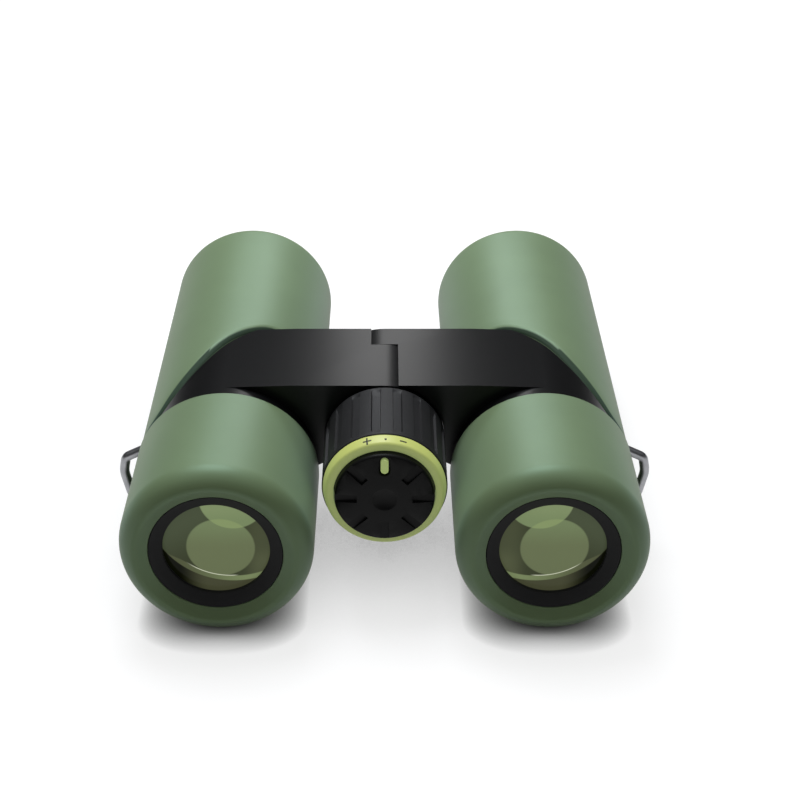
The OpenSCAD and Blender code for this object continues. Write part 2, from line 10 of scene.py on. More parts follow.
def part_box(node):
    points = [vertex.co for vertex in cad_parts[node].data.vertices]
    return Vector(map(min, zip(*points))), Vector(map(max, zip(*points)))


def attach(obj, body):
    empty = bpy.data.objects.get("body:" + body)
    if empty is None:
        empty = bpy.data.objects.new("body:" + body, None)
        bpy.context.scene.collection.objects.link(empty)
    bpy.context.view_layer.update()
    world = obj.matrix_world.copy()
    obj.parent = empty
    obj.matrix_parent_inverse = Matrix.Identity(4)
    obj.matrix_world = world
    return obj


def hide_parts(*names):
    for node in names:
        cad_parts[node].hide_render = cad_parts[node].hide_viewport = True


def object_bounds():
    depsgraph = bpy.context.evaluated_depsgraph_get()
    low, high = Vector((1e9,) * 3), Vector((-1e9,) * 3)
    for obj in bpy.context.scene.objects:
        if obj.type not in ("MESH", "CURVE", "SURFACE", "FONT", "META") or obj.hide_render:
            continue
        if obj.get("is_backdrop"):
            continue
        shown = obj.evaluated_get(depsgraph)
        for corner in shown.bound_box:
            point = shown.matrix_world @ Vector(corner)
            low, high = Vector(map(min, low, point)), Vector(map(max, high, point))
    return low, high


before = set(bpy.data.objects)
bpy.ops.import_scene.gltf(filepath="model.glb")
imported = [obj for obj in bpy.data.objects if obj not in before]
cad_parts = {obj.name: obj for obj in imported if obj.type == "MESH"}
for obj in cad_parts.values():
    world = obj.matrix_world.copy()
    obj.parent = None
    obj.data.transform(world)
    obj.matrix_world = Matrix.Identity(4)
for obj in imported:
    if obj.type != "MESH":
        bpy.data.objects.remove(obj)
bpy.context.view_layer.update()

MM = 0.001
SIDES = (("left", -1), ("right", 1))


# ---- Camera ----
# Stands before the eyepieces and looks down on them, as the photograph does. The shift puts
# the middle of the object where the photograph has it.
CAMERA_AT = (0, -309.6, 203.7)
CAMERA_DOWN_DEG = 30.44
FOCAL_MM = 69.5
SENSOR_MM = 36
SHIFT_ACROSS = 0.01925           # as a share of the picture's width
NEAREST_SEEN = 10
camera_data = bpy.data.cameras.new("camera")
camera_data.sensor_width = SENSOR_MM
camera_data.lens = FOCAL_MM
camera_data.shift_x = SHIFT_ACROSS
camera_data.clip_start = NEAREST_SEEN * MM
camera = bpy.data.objects.new("camera", camera_data)
camera.location = Vector(CAMERA_AT) * MM
camera.rotation_euler = (math.radians(90 - CAMERA_DOWN_DEG), 0, 0)
bpy.context.scene.collection.objects.link(camera)
bpy.context.scene.camera = camera
bpy.context.scene.view_settings.view_transform = "Standard"


# ---- Light and floor ----
# A white sweep under a soft light that hangs above and behind, so that the front faces stay
# dark. A narrow light makes the streak in the middle of the bridge, and a wide one that only
# the rubber takes makes the cool band along each barrel. The dome fades towards the horizon.
def linear(code):
    """An sRGB hex colour as the linear colour that a shader takes."""
    parts = [int(code[i : i + 2], 16) / 255 for i in (1, 3, 5)]
    return tuple(c / 12.92 if c <= 0.04045 else ((c + 0.055) / 1.055) ** 2.4 for c in parts) + (1.0,)


def add(tree, kind, values=None, links=None, **settings):
    """A node with its settings, its socket values and what its sockets are linked from."""
    made = tree.nodes.new(kind)
    for name, value in settings.items():
        setattr(made, name, value)
    for socket, value in (values or {}).items():
        made.inputs[socket].default_value = value
    for socket, source in (links or {}).items():
        tree.links.new(source, made.inputs[socket])
    return made


def new_material(name, **surface):
    """A material and its principled shader, with the shader's plain values set."""
    material = bpy.data.materials.new(name)
    material.use_nodes = True
    shader = material.node_tree.nodes["Principled BSDF"]
    for socket, value in surface.items():
        shader.inputs[socket.replace("_", " ")].default_value = value
    return material, material.node_tree, shader


def lamp(name, at, aim, size, power, colour):
    """A plain area lamp at a place in millimetres, facing another."""
    data = bpy.data.lights.new(name, "AREA")
    data.shape = "RECTANGLE"
    data.size, data.size_y = size[0] * MM, size[1] * MM
    data.energy = power
    data.color = linear(colour)[:3]
    made = bpy.data.objects.new(name, data)
    made.location = Vector(at) * MM
    made.rotation_euler = (Vector(aim) - Vector(at)).to_track_quat("-Z", "Y").to_euler()
    bpy.context.scene.collection.objects.link(made)
    return made


lamp("overhead", (-70, 230, 660), (0, 0, 20), (300, 300), 3.2, "#F6FAFF")
lamp("behind_hinge", (0, 160, 140), (0, -10, 35), (34, 90), 0.028, "#FFFFFF")
band_light = lamp("behind_barrels", (0, 300, 220), (0, -20, 40), (210, 70), 0.23, "#EEF7FF")
rubber_pieces = bpy.data.collections.new("rubber_pieces")
band_light.light_linking.receiver_collection = rubber_pieces

world = bpy.data.worlds.new("studio")
bpy.context.scene.world = world
world.use_nodes = True
sky = world.node_tree
where = add(sky, "ShaderNodeTexCoord")
height = add(sky, "ShaderNodeSeparateXYZ", links={0: where.outputs["Generated"]})
dome = add(sky, "ShaderNodeMapRange", interpolation_type="SMOOTHSTEP",
           values={"From Min": 0.45, "From Max": 1.0, "To Min": 0.05, "To Max": 0.65},
           links={"Value": height.outputs["Z"]})
background = sky.nodes["Background"]
background.inputs["Color"].default_value = linear("#FCFDFF")
path = add(sky, "ShaderNodeLightPath")
shown = add(sky, "ShaderNodeMath", operation="MAXIMUM",
            links={0: dome.outputs["Result"], 1: path.outputs["Is Camera Ray"]})
sky.links.new(shown.outputs[0], background.inputs["Strength"])

FLOOR_W_M = 12
FLOOR_GLOW = 0.86                # how bright the open floor is by itself, 1 being white
FLOOR_SHADES = ((7, 1.8), (40, 0.22))  # the reach of each painted shadow about the object and its depth
bpy.ops.object.select_all(action="DESELECT")
bpy.ops.mesh.primitive_plane_add(size=FLOOR_W_M)
floor = bpy.context.object
floor.name = "floor"
sweep, tree, shader = new_material("white_sweep", Roughness=1.0, Specular_IOR_Level=0.0)
path = add(tree, "ShaderNodeLightPath")
seen = add(tree, "ShaderNodeMath", operation="MAXIMUM",
           links={0: path.outputs["Is Camera Ray"], 1: path.outputs["Is Glossy Ray"]})
seen = add(tree, "ShaderNodeMath", operation="MAXIMUM",
           links={0: seen.outputs[0], 1: path.outputs["Is Transmission Ray"]})
# The colour that throws light back on the object is warmer and lighter than the one that is seen.
# Only the seen one has the glow, and ambient occlusion darkens that glow near the object into a
# painted shadow
bounce = add(tree, "ShaderNodeMix", data_type="RGBA", links={"Factor": seen.outputs[0]})
bounce.inputs[6].default_value = linear("#9C9A92")
bounce.inputs[7].default_value = linear("#8B8B8B")
tree.links.new(bounce.outputs[2], shader.inputs["Base Color"])
glow = seen
for reach, depth in FLOOR_SHADES:
    nearby = add(tree, "ShaderNodeAmbientOcclusion", values={"Distance": reach * MM}, samples=16)
    open_floor = add(tree, "ShaderNodeMath", operation="POWER", values={1: depth},
                     links={0: nearby.outputs["AO"]})
    glow = add(tree, "ShaderNodeMath", operation="MULTIPLY",
               links={0: glow.outputs[0], 1: open_floor.outputs[0]})
glow = add(tree, "ShaderNodeMath", operation="MULTIPLY", values={1: FLOOR_GLOW},
           links={0: glow.outputs[0]})
shader.inputs["Emission Color"].default_value = linear("#FFFFFF")
tree.links.new(glow.outputs[0], shader.inputs["Emission Strength"])
floor.data.materials.append(sweep)
floor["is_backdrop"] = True


# ---- Castings with the bridge ----
# Light-alloy barrel castings in satin black paint. Each carries an arm with a flat top and a
# knuckle, the left one nearer the eyes, and a trough runs between the arm and the armour.
def span(node):
    """The middle, the radius across X and the two ends along Y of a CAD node."""
    low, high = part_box(node)
    return (low + high) / 2 / MM, (high.x - low.x) / 2 / MM, low.y / MM, high.y / MM


MERGE_WITHIN = 0.002
SMOOTH_DEG = 32                  # edges sharper than this stay sharp


def tidy(piece, smooth_deg=SMOOTH_DEG):
    """Closes the poles, turns the faces outwards and smooths all but the sharp edges."""
    bpy.context.view_layer.objects.active = piece
    bpy.ops.object.mode_set(mode="EDIT")
    bpy.ops.mesh.select_all(action="SELECT")
    bpy.ops.mesh.remove_doubles(threshold=MERGE_WITHIN * MM)
    bpy.ops.mesh.normals_make_consistent(inside=False)
    bpy.ops.object.mode_set(mode="OBJECT")
    bpy.ops.object.shade_smooth_by_angle(angle=math.radians(smooth_deg))


def shaped_ring(name, axis, outline_at, angles):
    """A closed ring about Y whose outline, points of (radius, y), may change round the axis.
    The angles run from the top towards +X, one for each column."""
    first = outline_at(0.0)
    bpy.ops.object.select_all(action="DESELECT")
    bpy.ops.mesh.primitive_torus_add(major_segments=len(angles), minor_segments=len(first),
                                     generate_uvs=False)
    piece = bpy.context.object
    piece.name = name
    for i, angle in enumerate(angles):
        for j, (r, y) in enumerate(outline_at(angle)):
            place = Vector((axis[0] + r * math.sin(angle), y, axis[1] + r * math.cos(angle)))
            piece.data.vertices[i * len(first) + j].co = place * MM
    tidy(piece)
    return piece


def even(columns):
    """Angles in even steps round a turn."""
    return [2 * math.pi * i / columns for i in range(columns)]


def turned(name, axis, outline, columns=160):
    """A closed ring with one outline all the way round."""
    return shaped_ring(name, axis, lambda angle: outline, even(columns))


def cylinder(name, axis, r, y0, y1, columns=128):
    """A plain solid cylinder along Y."""
    return turned(name, axis, [(0.0, y0), (r, y0), (r, y1), (0.0, y1)], columns)


def prism(name, outline, near, far, flat=False):
    """A solid with an outline in X and Z that runs along Y, or in X and Y that runs up Z."""
    bpy.ops.object.select_all(action="DESELECT")
    bpy.ops.mesh.primitive_circle_add(vertices=len(outline), fill_type="NGON")
    piece = bpy.context.object
    piece.name = name
    for vertex, (a, b) in zip(piece.data.vertices, outline):
        vertex.co = Vector((a, b, near) if flat else (a, near, b)) * MM
    step = (0, 0, (far - near) * MM) if flat else (0, (far - near) * MM, 0)
    bpy.ops.object.mode_set(mode="EDIT")
    bpy.ops.mesh.select_all(action="SELECT")
    bpy.ops.mesh.extrude_region_move(TRANSFORM_OT_translate={"value": step})
    bpy.ops.object.mode_set(mode="OBJECT")
    tidy(piece)
    return piece


def combine(piece, tool, operation):
    """Joins a second solid to a piece, cuts it away or keeps what both fill."""
    change = piece.modifiers.new("combine", "BOOLEAN")
    change.operation = operation
    change.object = tool
    change.solver = "EXACT"
    bpy.context.view_layer.objects.active = piece
    bpy.ops.object.modifier_apply(modifier="combine")
    bpy.data.objects.remove(tool)


def soften(piece, width, segments=3, angle_deg=38):
    """Rounds the edges that are sharper than an angle."""
    change = piece.modifiers.new("soften", "BEVEL")
    change.width = width * MM
    change.segments = segments
    change.limit_method = "ANGLE"
    change.angle_limit = math.radians(angle_deg)
    change.harden_normals = True
    bpy.context.view_layer.objects.active = piece
    bpy.ops.object.modifier_apply(modifier="soften")


def finish_piece(piece, material, body, nodes):
    """Gives a piece its one material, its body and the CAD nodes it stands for."""
    piece.data.materials.clear()
    piece.data.materials.append(material)
    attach(piece, body)
    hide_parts(*nodes)


def grained(name, dark, light, patch_mm, grain_mm, grain_depth_mm, **surface):
    """A surface whose colour drifts between two tones and that carries a fine relief."""
    material, tree, shader = new_material(name, **surface)
    place = add(tree, "ShaderNodeTexCoord")
    patches = add(tree, "ShaderNodeTexNoise", values={"Scale": 1 / (patch_mm * MM), "Detail": 3.0},
                  links={"Vector": place.outputs["Object"]})
    tone = add(tree, "ShaderNodeValToRGB", links={"Fac": patches.outputs["Fac"]})
    tone.color_ramp.elements[0].position = 0.3
    tone.color_ramp.elements[0].color = linear(dark)
    tone.color_ramp.elements[1].position = 0.7
    tone.color_ramp.elements[1].color = linear(light)
    tree.links.new(tone.outputs["Color"], shader.inputs["Base Color"])
    grain = add(tree, "ShaderNodeTexNoise", values={"Scale": 1 / (grain_mm * MM), "Detail": 2.0},
                links={"Vector": place.outputs["Object"]})
    bump = add(tree, "ShaderNodeBump", values={"Strength": 0.3, "Distance": grain_depth_mm * MM},
               links={"Height": grain.outputs["Fac"]})
    tree.links.new(bump.outputs["Normal"], shader.inputs["Normal"])
    return material


# Satin black paint with the faint orange peel of a sprayed coat
satin_paint = grained("satin_black_paint", "#0A0A0B", "#0D0D0E", 0.9, 0.7, 0.006,
                      Roughness=0.3, Specular_IOR_Level=0.3)

grip_middle, wheel_r, grip_y0, grip_y1 = span("focus_grip")
cup_middle, cup_r, _, cup_y1 = span("left_eyecup")
hinge_z = grip_middle.z
axis_z = cup_middle.z
axis_x = abs(cup_middle.x)
top_z = axis_z + cup_r - 0.05
knuckle_r = top_z - hinge_z
KNUCKLE_GAP = 0.35
SIDE_GAP = 0.15
HINGE_BORE_R = 7.0
BORE_R = 17.2
BARE_R = 19.25                   # the casting's raised part round the bridge
CASTING_R = 18.4                 # under the armour and in the trough
neck_y = cup_y1 + 0.3
armour_y = cup_y1 + 0.7
bridge_y0 = cup_y1 + 3.0
split_y = bridge_y0 + 18.4
bridge_y1 = bridge_y0 + 26.0
raised_y1 = bridge_y1 + 3.3
ARM_SHOULDER = 14                # distance inwards at which the arm's top becomes flat
ARM_CORNER = (17.4, -1.4)        # inner lower corner of the arm, from the barrel axis
FOOT_RISE = 1.2                  # where the knuckle meets the arm, above the barrel axis
TROUGH_SHIFT = 0.7               # how far the raised part stands back from the armour's edge
CASTING_EDGE_R = 0.3

# The armour's open edge from above: distance outwards from the axis, and beyond its near end.
# It runs level over the bridge's far side, turns, and comes down the flank to the near end.
FAR_IN, TURN_OUT, END_OUT = -8.0, 0.7, 15.2
FAR_ROUND, END_ROUND_OUT = 3, 1.4
WELL_PAST = 60
far_run = raised_y1 - armour_y
turn_run = bridge_y0 + 22.9 - armour_y


def bends(start, corner, end, steps):
    """Points along a quadratic curve from start to end, drawn towards a corner."""
    shares = [k / steps for k in range(steps + 1)]
    return [start * (1 - t) ** 2 + corner * 2 * t * (1 - t) + end * t * t for t in shares]


far_corner = Vector((FAR_IN, far_run))
turn_corner = Vector((TURN_OUT, turn_run))
end_corner = Vector((END_OUT, 0))
edge = [Vector((-WELL_PAST, far_run))]
edge += bends(far_corner - Vector((FAR_ROUND, 0)), far_corner, far_corner.lerp(turn_corner, 0.3), 4)
edge += bends(turn_corner.lerp(far_corner, 0.5), turn_corner, turn_corner.lerp(end_corner, 0.25), 8)
edge += bends(end_corner.lerp(turn_corner, 0.1), end_corner,
              end_corner + Vector((END_ROUND_OUT, 0)), 4)
edge += [Vector((WELL_PAST, 0))]


def edge_run(outwards):
    """Distance of the open edge beyond the armour's near end, at a distance outwards."""
    for a, b in zip(edge, edge[1:]):
        if a.x <= outwards <= b.x:
            return a.y + (b.y - a.y) * (outwards - a.x) / (b.x - a.x)
    return 0.0


def about_hinge(r, start_deg, end_deg, steps):
    """Points about the hinge axis, with angles from +X towards +Z."""
    turns = [math.radians(start_deg + (end_deg - start_deg) * k / steps) for k in range(steps + 1)]
    return [(r * math.cos(t), hinge_z + r * math.sin(t)) for t in turns]


hollow_r = knuckle_r + KNUCKLE_GAP
drop = hinge_z - axis_z - FOOT_RISE
arm_start = [(-axis_x, axis_z + BARE_R), (-axis_x + ARM_SHOULDER, top_z)]
arm_end = [(-axis_x + ARM_CORNER[0], axis_z + ARM_CORNER[1]), (-axis_x, axis_z + ARM_CORNER[1])]
knuckle_foot = -180 + math.degrees(math.asin(drop / knuckle_r))
hollow_top = 180 - math.degrees(math.asin(knuckle_r / hollow_r))
hollow_foot = 180 + math.degrees(math.asin(drop / hollow_r))
with_knuckle = arm_start + about_hinge(knuckle_r, 90, knuckle_foot, 56) + arm_end
with_hollow = arm_start + about_hinge(hollow_r, hollow_top, hollow_foot, 28) + arm_end

# What the raised part keeps, seen from above: it reaches past the hinge and before the armour
KEPT_IN, KEPT_OUT, KEPT_NEAR = -69.0, 16.6, -4.0
KEPT_HALF_H = 30
CUT_PAST = 2                     # how far a cutting solid sticks out beyond what it cuts
kept_plan = [(KEPT_IN, KEPT_NEAR), (KEPT_IN, far_run), *(tuple(p) for p in edge[1:-1]),
             (KEPT_OUT, KEPT_NEAR)]

for side, out in SIDES:
    barrel = (out * axis_x, axis_z)
    _, _, _, house_y1 = span(f"{side}_housing")
    near_arm, far_arm = (with_knuckle, with_hollow) if out < 0 else (with_hollow, with_knuckle)
    part_y = split_y if out < 0 else split_y + SIDE_GAP
    raised = cylinder("raised", barrel, BARE_R, neck_y, raised_y1)
    for outline, y0, y1 in ((near_arm, bridge_y0, part_y), (far_arm, part_y, bridge_y1)):
        arm = prism("arm", [(-out * x, z) for x, z in outline], y0, y1)
        combine(raised, arm, "UNION")
    plan = [(out * (axis_x + x - TROUGH_SHIFT), armour_y + y - TROUGH_SHIFT) for x, y in kept_plan]
    kept = prism("kept", plan, axis_z - KEPT_HALF_H, axis_z + KEPT_HALF_H, flat=True)
    combine(raised, kept, "INTERSECT")
    casting = cylinder(f"{side}_casting", barrel, CASTING_R, neck_y, house_y1)
    combine(casting, raised, "UNION")
    bore = cylinder("bore", barrel, BORE_R, neck_y - CUT_PAST, house_y1 + CUT_PAST)
    combine(casting, bore, "DIFFERENCE")
    hinge_bore = cylinder("hinge_bore", (0, hinge_z), HINGE_BORE_R,
                          bridge_y0 - CUT_PAST, bridge_y1 + CUT_PAST, 64)
    combine(casting, hinge_bore, "DIFFERENCE")
    soften(casting, CASTING_EDGE_R)
    finish_piece(casting, satin_paint, f"{side}_barrel", [f"{side}_housing"])


# ---- Barrel armour ----
# Moulded rubber drawn over each casting. It is cut back round the bridge in a long curve whose
# lip slopes down to the casting, and it turns in at the objective end to protect the glass.

# Soft-touch green rubber: a matte skin with a cool bloom at grazing angles, and painted shade on the
# lip's wall, darker and less glossy
green_rubber = grained("moulded_green_rubber", "#6F7F57", "#73845B", 16, 0.45, 0.012,
                       Roughness=0.5, Specular_IOR_Level=0.8, Specular_Tint=linear("#C4F3E0"),
                       Sheen_Roughness=0.5, Sheen_Tint=linear("#B0DAD6"))
tree = green_rubber.node_tree
shader = tree.nodes["Principled BSDF"]
facing = add(tree, "ShaderNodeLayerWeight", values={"Blend": 0.5})
bloom = add(tree, "ShaderNodeMapRange", interpolation_type="SMOOTHSTEP",
            values={"From Min": 0.95, "From Max": 0.45, "To Min": 0.03, "To Max": 0.5},
            links={"Value": facing.outputs["Facing"]})
tree.links.new(bloom.outputs["Result"], shader.inputs["Sheen Weight"])
# The lip attribute lays a painted shade on the lip's wall: a darker green with less specular
lip = add(tree, "ShaderNodeAttribute", attribute_name="lip")
plain_tone = shader.inputs["Base Color"].links[0].from_socket
shaded = add(tree, "ShaderNodeMix", data_type="RGBA",
             links={"Factor": lip.outputs["Fac"], 6: plain_tone})
shaded.inputs[7].default_value = linear("#2E3A28")
gloss = add(tree, "ShaderNodeMath", operation="MULTIPLY_ADD", values={1: -0.75, 2: 0.8},
            links={0: lip.outputs["Fac"]})
tree.links.new(gloss.outputs[0], shader.inputs["Specular IOR Level"])
tree.links.new(shaded.outputs[2], shader.inputs["Base Color"])

WAIST = 0.4                      # how much narrower the armour is beside the bridge
END_ROUND = 5.3
RECESS_R = 14.5                  # recess in front of the objective
RECESS_D = 3.9
LIP_W = 1.9                      # width of the lip's sloping wall, square to its edge
LIP_SHAPE = ((0.3, 0.06), (0.55, 0.24), (0.75, 0.5), (0.9, 0.76), (0.975, 0.92), (1.0, 1.0))
LIP_SHADE_W = 2.3 * LIP_W         # how far the painted shade reaches from the edge
SLOPE_OVER = 1.5                 # half the width over which the edge's slope is averaged
STEEPEST = 2                     # slope of the edge beyond which the lip grows no wider
ARMOUR_GAP = 0.05
inner_r = CASTING_R + ARMOUR_GAP

for side, out in SIDES:
    middle, far_r, _, armour_y1 = span(f"{side}_armour")

    def armour_outline(angle):
        """The section at an angle: inside, lip, outer run, rounded end and recess."""
        outwards = out * far_r * math.sin(angle)
        start = armour_y + edge_run(outwards)
        climb = edge_run(outwards + SLOPE_OVER) - edge_run(outwards - SLOPE_OVER)
        slope = climb / (2 * SLOPE_OVER) * math.cos(angle)
        lip_w = LIP_W * math.sqrt(1 + min(slope * slope, STEEPEST ** 2))
        near_r = far_r - WAIST * (armour_y1 - start) / (armour_y1 - armour_y)
        floor_y = armour_y1 - RECESS_D
        outline = [(inner_r, floor_y + (start - floor_y) * k / 6) for k in range(7)]
        wall = near_r - inner_r
        outline += [(inner_r + wall * rise, start + lip_w * along) for rise, along in LIP_SHAPE]
        round_y = armour_y1 - END_ROUND
        roll_y = start + lip_w
        for k in range(1, 15):
            t = k / 15
            outline.append((near_r + (far_r - near_r) * t, roll_y + (round_y - roll_y) * t))
        for k in range(13):
            turn = math.radians(7.5 * k)
            outline.append((far_r - END_ROUND * (1 - math.cos(turn)),
                            round_y + END_ROUND * math.sin(turn)))
        return outline + [(RECESS_R, armour_y1 - 0.15), (RECESS_R, armour_y1 - RECESS_D)]

    armour = shaped_ring(f"{side}_rubber_armour", (middle.x, middle.z), armour_outline,
                         even(256))
    # Marks the lip's wall near the edge, where the rubber takes the painted shade
    shade = armour.data.attributes.new("lip", "FLOAT", "POINT")
    for i, vertex in enumerate(armour.data.vertices):
        x, y, z = vertex.co / MM
        r = math.hypot(x - middle.x, z - middle.z)
        start = armour_y + edge_run(out * (x - middle.x))
        on_wall = inner_r + 0.01 < r < far_r - WAIST - 0.03
        shade.data[i].value = float(on_wall and y < start + LIP_SHADE_W)
    finish_piece(armour, green_rubber, f"{side}_barrel", [f"{side}_armour"])
    rubber_pieces.objects.link(armour)


# ---- Strap lugs ----
# A bail of round steel wire on the outside of each barrel, bent in three places, with both ends
# let into the casting.

# Nickel plate with the faint drag of drawn wire
plated_steel = grained("brushed_plated_steel", "#8E8F92", "#A3A4A7", 2.5, 0.3, 0.01,
                       Roughness=0.34, Metallic=1.0)
LUG_WIRE_R = 1.05
# Corners of the bail as distance from the barrel axis, height over it, and rounding
LUG_PATH = ((-18.0, 3.68, 0.4), (-22.7, 1.4, 0.9), (-23.4, -2.2, 1.2), (-22.1, -8.4, 1.2),
            (-18.2, -10.8, 0.4))

for side, out in SIDES:
    low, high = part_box(f"{side}_strap_lug")
    lug_y = (low + high).y / 2 / MM
    corners = [Vector((x, z)) for x, z, _ in LUG_PATH]
    points = [corners[0]]
    for i in range(1, len(corners) - 1):
        reach = LUG_PATH[i][2]
        back = corners[i] + (corners[i - 1] - corners[i]).normalized() * reach
        on = corners[i] + (corners[i + 1] - corners[i]).normalized() * reach
        points += bends(back, corners[i], on, 8)
    points.append(corners[-1])
    bpy.ops.object.select_all(action="DESELECT")
    bpy.ops.curve.primitive_bezier_curve_add()
    wire = bpy.context.object
    wire.name = f"{side}_wire_lug"
    wire.data.splines.clear()
    run = wire.data.splines.new("POLY")
    run.points.add(len(points) - 1)
    for point, corner in zip(run.points, points):
        place = Vector((out * (axis_x - corner.x), lug_y, axis_z + corner.y)) * MM
        point.co = (*place, 1)
    wire.data.bevel_depth = LUG_WIRE_R * MM
    wire.data.bevel_resolution = 6
    wire.data.use_fill_caps = True
    bpy.ops.object.convert(target="MESH")
    tidy(wire, 50)
    finish_piece(wire, plated_steel, f"{side}_barrel", [f"{side}_strap_lug"])


# ---- Eyepiece rings and eye lenses ----
# A black cone ring holds the coated eye lens. The lens's colour is painted light: olive discs and
# bands for the reflections and light seen inside the glass, a pale painted highlight arc, and a glow
# of that colour.
def rounded(corners, steps=6):
    """A closed outline of (radius, y, rounding) corners with each rounding drawn as an arc."""
    outline = []
    for i, (r, y, fillet) in enumerate(corners):
        here = Vector((r, y))
        if not fillet:
            outline.append((r, y))
            continue
        back = (Vector(corners[i - 1][:2]) - here).normalized()
        on = (Vector(corners[(i + 1) % len(corners)][:2]) - here).normalized()
        half = back.angle(on) / 2
        centre = here + (back + on).normalized() * fillet / math.sin(half)
        start = here + back * fillet / math.tan(half) - centre
        end = here + on * fillet / math.tan(half) - centre
        a = math.atan2(start.y, start.x)
        turn = (math.atan2(end.y, end.x) - a + math.pi) % (2 * math.pi) - math.pi
        for k in range(steps + 1):
            t = a + turn * k / steps
            outline.append((centre.x + fillet * math.cos(t), centre.y + fillet * math.sin(t)))
    return outline


def distance_mask(tree, point, centre, inner, outer):
    """1 nearer to a centre than the inner distance, falling to 0 at the outer one."""
    away = add(tree, "ShaderNodeVectorMath", operation="DISTANCE", values={1: centre},
               links={0: point})
    return add(tree, "ShaderNodeMapRange", interpolation_type="SMOOTHSTEP",
               values={"From Min": outer, "From Max": inner},
               links={"Value": away.outputs["Value"]}).outputs["Result"]


def line_mask(tree, point, along, start, end):
    """0 before start and 1 after end in a direction (x, z) across the lens."""
    reach = add(tree, "ShaderNodeVectorMath", operation="DOT_PRODUCT",
                values={1: (along[0], 0, along[1])}, links={0: point})
    return add(tree, "ShaderNodeMapRange", interpolation_type="SMOOTHSTEP",
               values={"From Min": start, "From Max": end},
               links={"Value": reach.outputs["Value"]}).outputs["Result"]


def both(tree, a, b):
    """The product of two masks."""
    return add(tree, "ShaderNodeMath", operation="MULTIPLY", links={0: a, 1: b}).outputs[0]


def without(tree, a, b):
    """The first mask where the second is 0."""
    left = add(tree, "ShaderNodeMath", operation="SUBTRACT", links={0: a, 1: b}, use_clamp=True)
    return left.outputs[0]


def over(tree, under, colour, mask):
    """Lays a colour on another by a mask."""
    mix = add(tree, "ShaderNodeMix", data_type="RGBA", links={"Factor": mask, 6: under})
    mix.inputs[7].default_value = linear(colour)
    return mix.outputs[2]


def bulge(r, middle_y, crown, way=1, steps=16):
    """Points (radius, y) from the middle of a lens face to its edge, which lies a crown's height
    further along Y, or nearer where way is -1."""
    ball_r = (r ** 2 + crown ** 2) / (2 * crown)
    reaches = [r * k / steps for k in range(steps + 1)]
    return [(x, middle_y + way * (ball_r - math.sqrt(ball_r ** 2 - x ** 2))) for x in reaches]


def on_both(piece, stem):
    """A left barrel's piece and its copy on the right barrel, each after its side and out."""
    twin = bpy.data.objects.new(f"right_{stem}", piece.data.copy())
    twin.data.transform(Matrix.Translation((2 * axis_x * MM, 0, 0)))
    bpy.context.scene.collection.objects.link(twin)
    return ("left", -1, piece), ("right", 1, twin)


ACROSS, UP, ACROSS_UP = (1, 0), (0, 1), (-0.5, 0.86)
LENS_GLOW = 0.62                 # emission, for light that a traced lens wouldn't show here


def lens_with_painted_reflections(side, out):
    """Coated glass whose colour is a painted image of the reflections, light and highlight seen in
    it, and which glows with it, drawn in millimetres from the lens's own centre with +X towards the
    hinge."""
    material, tree, shader = new_material(f"lens_with_painted_reflections_{side}", Roughness=0.12,
                                          Specular_IOR_Level=0.06)
    place = add(tree, "ShaderNodeTexCoord")
    local = add(tree, "ShaderNodeMapping", links={"Vector": place.outputs["Object"]})
    local.inputs["Scale"].default_value = (-out / MM, 0, 1 / MM)
    local.inputs["Location"].default_value = (axis_x, 0, -axis_z)
    point = local.outputs["Vector"]

    def disc(x, z, inner, outer):
        return distance_mask(tree, point, (x, 0, z), inner, outer)

    def run(along, start, end):
        return line_mask(tree, point, along, start, end)

    middle_x, upper_x = (0.9, 3.9) if side == "left" else (-0.3, 3.1)
    middle = disc(middle_x, 0.2, 6.7, 7.1)
    upper = disc(upper_x, 11.9, 6.8, 7.1)
    inside_low = disc(3.74, 9.38, 17.5, 17.75)
    above_end = both(tree, run(ACROSS, -5, -6), run((0.47, 1), -6.5, -6.1))
    band = without(tree, without(tree, inside_low, disc(3.8, 9.7, 16.5, 16.75)), above_end)
    beyond = add(tree, "ShaderNodeMath", operation="SUBTRACT", values={0: 1.0},
                 links={1: inside_low}).outputs[0]
    arc = without(tree, disc(3.01, 7.64, 14.47, 14.62), disc(3.01, 7.64, 14.27, 14.42))
    for end in (run(ACROSS, -6.5, -4), run(ACROSS, 4.4, 3), run(UP, 0, -2)):
        arc = both(tree, arc, end)
    plain = add(tree, "ShaderNodeRGB")
    plain.outputs[0].default_value = linear("#3F4530")
    colour = plain.outputs[0]
    # Painted reflections and light: lighter discs and bands, a painted dark side, and the pale
    # painted highlight arc
    for tone, mask in (
        ("#4F5842", run(ACROSS_UP, 0, 9)),
        ("#4E543C", run(ACROSS, 4, 9)),
        ("#5A6045", both(tree, run(ACROSS, 5, 10), run(UP, 1, -4))),
        ("#717B59", middle),
        ("#7C8C65", both(tree, middle, run(UP, 0, 7))),
        ("#83956A", upper),
        ("#90A174", both(tree, upper, run(UP, 6, 11))),
        ("#91A370", both(tree, upper, middle)),
        ("#585D42", band),
        ("#859468", both(tree, band, run(ACROSS, -9, 8))),
        ("#4B4D37", beyond),
        ("#0D0F05", both(tree, beyond, run(ACROSS, -2, -8))),
        ("#DDE2C8", arc),
    ):
        colour = over(tree, colour, tone, mask)
    tree.links.new(colour, shader.inputs["Base Color"])
    tree.links.new(colour, shader.inputs["Emission Color"])
    shader.inputs["Emission Strength"].default_value = LENS_GLOW
    return material


